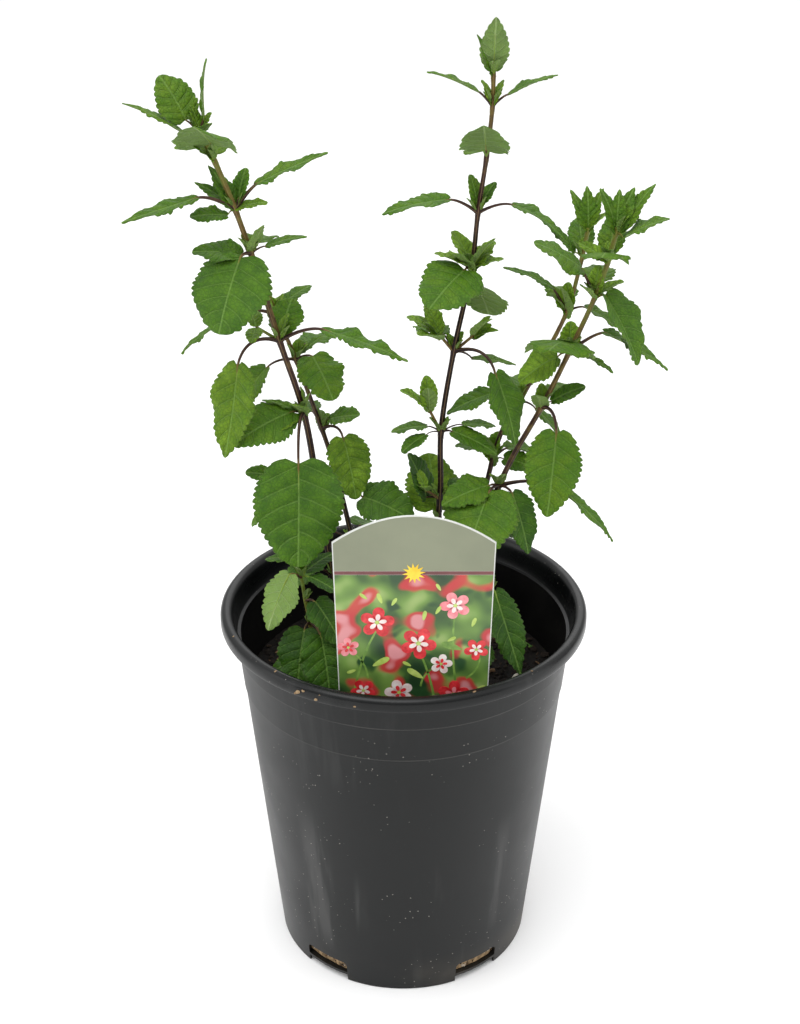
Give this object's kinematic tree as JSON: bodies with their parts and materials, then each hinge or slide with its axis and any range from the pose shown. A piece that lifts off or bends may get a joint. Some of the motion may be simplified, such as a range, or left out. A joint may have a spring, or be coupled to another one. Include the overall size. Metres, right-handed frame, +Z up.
{
  "type": "potted plant",
  "caption": "Young potted hot lips sage with upright leafy stems in a tapered nursery pot, with potting mix and a flat plant label.",
  "frame": {"origin": "centre of the pot's underside, where it stands on the ground", "axes": "+Z up along the pot and plant, -Y towards the label side, +X to the right of the label seen from the front"},
  "size_m": [0.2178, 0.165, 0.4288],
  "materials": {
    "pot_plastic": "satin black",
    "potting_mix": "dark crumbly bark and peat",
    "label_print": "printed semi gloss",
    "sage_foliage": "soft leaf"
  },
  "bodies": {
    "root": {"nursery_pot": "pot_plastic", "potting_mix": "potting_mix", "plant_label": "label_print", "leafy_stem_left_front": "sage_foliage", "leafy_stem_left_back": "sage_foliage", "leafy_stem_centre": "sage_foliage", "leafy_stem_right_front": "sage_foliage", "leafy_stem_right_back": "sage_foliage", "low_shoot_left": "sage_foliage", "low_shoot_front": "sage_foliage", "low_shoot_right": "sage_foliage"}
  },
  "joints": []
}
